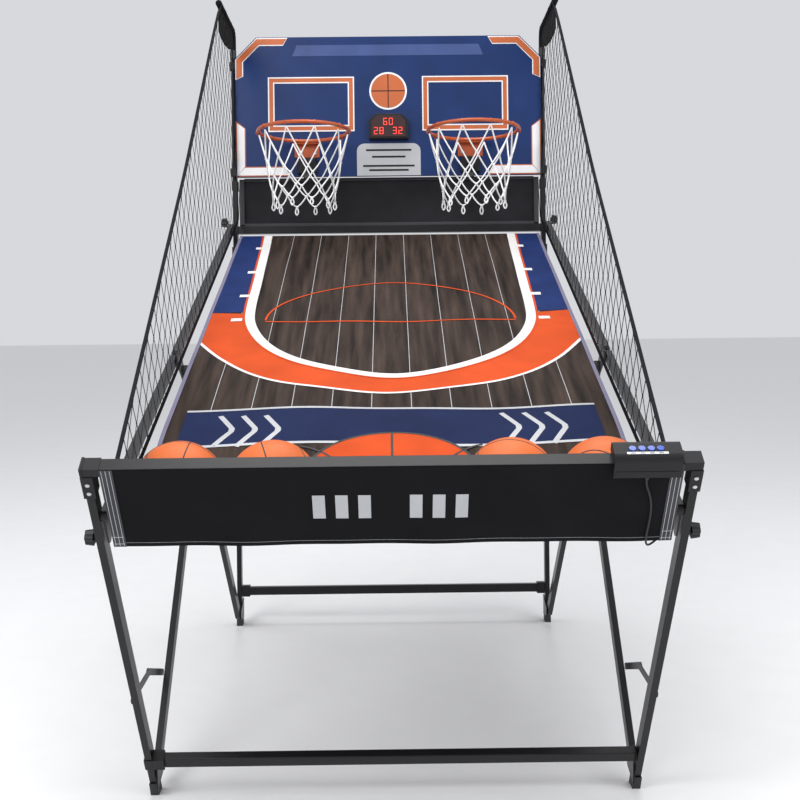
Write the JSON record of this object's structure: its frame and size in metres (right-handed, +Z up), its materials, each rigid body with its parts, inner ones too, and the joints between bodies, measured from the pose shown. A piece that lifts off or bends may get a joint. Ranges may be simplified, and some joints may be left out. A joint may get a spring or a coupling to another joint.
{
  "type": "basketball hoop machine",
  "caption": "Folding two-player basketball shootout machine with hoops, side nets, a sloping fabric playfield, a ball trough and an electronic scoreboard.",
  "frame": {"origin": "centre of the bounding box, on the floor", "axes": "+X to the player's right, -Y towards the player, +Z up"},
  "size_m": [1.144, 2.059, 1.9877],
  "materials": {
    "black_steel": "satin black powder coat",
    "backboard_print": "printed board with a soft gloss",
    "black_plastic": "moulded, fine grain",
    "display_lens": "dark red window",
    "hoop_orange": "satin orange powder coat",
    "net_white": "braided white cord",
    "charcoal_fabric": "plain woven",
    "playfield_print": "printed woven",
    "net_black": "knotted black netting",
    "black_fabric": "plain woven",
    "button_blue": "domed, glossy",
    "cable_black": "matte jacket",
    "ball_orange": "pebbled rubber"
  },
  "bodies": {
    "rear_frame": {"rear_upright_left": "black_steel", "rear_upright_right": "black_steel", "rear_bottom_crossbar": "black_steel", "playfield_rear_bar": "black_steel", "backboard_pole_left": "black_steel", "backboard_pole_right": "black_steel", "backboard": "backboard_print", "backboard_clamp_lower_left": "black_plastic", "backboard_clamp_lower_right": "black_plastic", "backboard_clamp_upper_left": "black_plastic", "backboard_clamp_upper_right": "black_plastic", "scoreboard_housing": "black_plastic", "scoreboard_lens": "display_lens", "hoop_rim_left": "hoop_orange", "hoop_rim_right": "hoop_orange", "hoop_bracket_left": "hoop_orange", "hoop_bracket_right": "hoop_orange", "hoop_net_left": "net_white", "hoop_net_right": "net_white", "score_sensor_left": "black_plastic", "score_sensor_right": "black_plastic", "backdrop_fabric": "charcoal_fabric", "playfield": "playfield_print", "side_net_left": "net_black", "side_net_right": "net_black"},
    "rear_struts": {"rear_strut_left": "black_steel", "rear_strut_right": "black_steel"},
    "front_struts": {"front_strut_left": "black_steel", "front_strut_right": "black_steel"},
    "front_frame": {"front_leg_left": "black_steel", "front_leg_right": "black_steel", "front_bottom_crossbar": "black_steel", "front_rail": "black_steel", "front_apron": "black_fabric", "control_box": "black_plastic", "control_cable": "cable_black"},
    "front_rails": {"side_rail_front_left": "black_steel", "side_rail_front_right": "black_steel"},
    "rear_rails": {"side_rail_rear_left": "black_steel", "side_rail_rear_right": "black_steel"},
    "leg_stays": {"stay_leg_link_left": "black_steel", "stay_leg_link_right": "black_steel"},
    "strut_stays": {"stay_strut_link_left": "black_steel", "stay_strut_link_right": "black_steel"},
    "button_1": {"control_button_1": "button_blue"},
    "button_2": {"control_button_2": "button_blue"},
    "button_3": {"control_button_3": "button_blue"},
    "button_4": {"control_button_4": "button_blue"},
    "lever_left": {"score_lever_left": "black_plastic"},
    "lever_right": {"score_lever_right": "black_plastic"},
    "rear_knob_left": {"rear_knob_left": "black_plastic"},
    "rear_knob_right": {"rear_knob_right": "black_plastic"},
    "front_knob_left": {"front_knob_left": "black_plastic"},
    "front_knob_right": {"front_knob_right": "black_plastic"},
    "ball_1": {"ball_1": "ball_orange"},
    "ball_2": {"ball_2": "ball_orange"},
    "ball_3": {"ball_3": "ball_orange"},
    "ball_4": {"ball_4": "ball_orange"}
  },
  "joints": [
    {"name": "frame_fold", "type": "hinge", "parent": "rear_frame", "child": "rear_struts", "pos_m": [0, 0.7601, 0.05], "axis": [-1, 0, 0], "range_deg": [0, 44], "deforming": ["playfield", "side_net_left", "side_net_right"]},
    {"name": "front_strut_fold", "type": "hinge", "parent": "rear_struts", "child": "front_struts", "pos_m": [0, 0.1486, 0.65092], "axis": [1, 0, 0], "range_deg": [0, 88]},
    {"name": "leg_fold", "type": "hinge", "parent": "front_struts", "child": "front_frame", "pos_m": [0, -0.4629, 0.05], "axis": [-1, 0, 0], "range_deg": [0, 72.6]},
    {"name": "front_rail_fold", "type": "hinge", "parent": "rear_struts", "child": "front_rails", "pos_m": [0, -0.18945, 0.95845], "axis": [1, 0, 0], "range_deg": [0, 115.28]},
    {"name": "rear_rail_fold", "type": "hinge", "parent": "rear_struts", "child": "rear_rails", "pos_m": [0, -0.15122, 0.97022], "axis": [-1, 0, 0], "range_deg": [0, 55]},
    {"name": "leg_stay_fold", "type": "hinge", "parent": "front_frame", "child": "leg_stays", "pos_m": [0, -0.64867, 0.27463], "axis": [1, 0, 0], "range_deg": [0, 66.84]},
    {"name": "strut_stay_fold", "type": "hinge", "parent": "front_struts", "child": "strut_stays", "pos_m": [0, -0.29457, 0.21541], "axis": [-1, 0, 0], "range_deg": [0, 141.5]},
    {"name": "button_1_press", "type": "slide", "parent": "front_frame", "child": "button_1", "axis": [0, 0.5314, -0.8471], "range_m": [0, 0.0015], "stiffness_N_per_m": 400},
    {"name": "button_2_press", "type": "slide", "parent": "front_frame", "child": "button_2", "axis": [0, 0.5314, -0.8471], "range_m": [0, 0.0015], "stiffness_N_per_m": 400},
    {"name": "button_3_press", "type": "slide", "parent": "front_frame", "child": "button_3", "axis": [0, 0.5314, -0.8471], "range_m": [0, 0.0015], "stiffness_N_per_m": 400},
    {"name": "button_4_press", "type": "slide", "parent": "front_frame", "child": "button_4", "axis": [0, 0.5314, -0.8471], "range_m": [0, 0.0015], "stiffness_N_per_m": 400},
    {"name": "lever_left_swing", "type": "hinge", "parent": "rear_frame", "child": "lever_left", "pos_m": [-0.269, 0.92416, 1.52694], "axis": [-1, 0, 0], "range_deg": [0, 10], "stiffness_Nm_per_rad": 0.02},
    {"name": "lever_right_swing", "type": "hinge", "parent": "rear_frame", "child": "lever_right", "pos_m": [0.269, 0.92416, 1.52694], "axis": [-1, 0, 0], "range_deg": [0, 10], "stiffness_Nm_per_rad": 0.02},
    {"name": "rear_knob_left_turn", "type": "hinge", "parent": "rear_frame", "child": "rear_knob_left", "pos_m": [-0.54, 0.95728, 1.32719], "axis": [1, 0, 0], "continuous": true},
    {"name": "rear_knob_right_turn", "type": "hinge", "parent": "rear_frame", "child": "rear_knob_right", "pos_m": [0.54, 0.95728, 1.32719], "axis": [1, 0, 0], "continuous": true},
    {"name": "front_knob_left_turn", "type": "hinge", "parent": "front_frame", "child": "front_knob_left", "pos_m": [-0.556, -0.90453, 0.68251], "axis": [1, 0, 0], "continuous": true},
    {"name": "front_knob_right_turn", "type": "hinge", "parent": "front_frame", "child": "front_knob_right", "pos_m": [0.556, -0.90453, 0.68251], "axis": [1, 0, 0], "continuous": true},
    {"name": "ball_1_lift", "type": "slide", "parent": "front_frame", "child": "ball_1", "axis": [0, 0, 1], "range_m": [0, 0.3]},
    {"name": "ball_2_lift", "type": "slide", "parent": "front_frame", "child": "ball_2", "axis": [0, 0, 1], "range_m": [0, 0.3]},
    {"name": "ball_3_lift", "type": "slide", "parent": "front_frame", "child": "ball_3", "axis": [0, 0, 1], "range_m": [0, 0.3]},
    {"name": "ball_4_lift", "type": "slide", "parent": "front_frame", "child": "ball_4", "axis": [0, 0, 1], "range_m": [0, 0.3]}
  ],
  "couplings": [
    {"joint": "front_strut_fold", "follows": "frame_fold", "ratio": 2},
    {"joint": "leg_fold", "follows": "frame_fold", "ratio": 1.65},
    {"joint": "front_rail_fold", "follows": "frame_fold", "ratio": 2.62},
    {"joint": "rear_rail_fold", "follows": "frame_fold", "ratio": 1.25},
    {"joint": "leg_stay_fold", "follows": "frame_fold", "ratio": 1.519},
    {"joint": "strut_stay_fold", "follows": "frame_fold", "ratio": 3.2155}
  ]
}
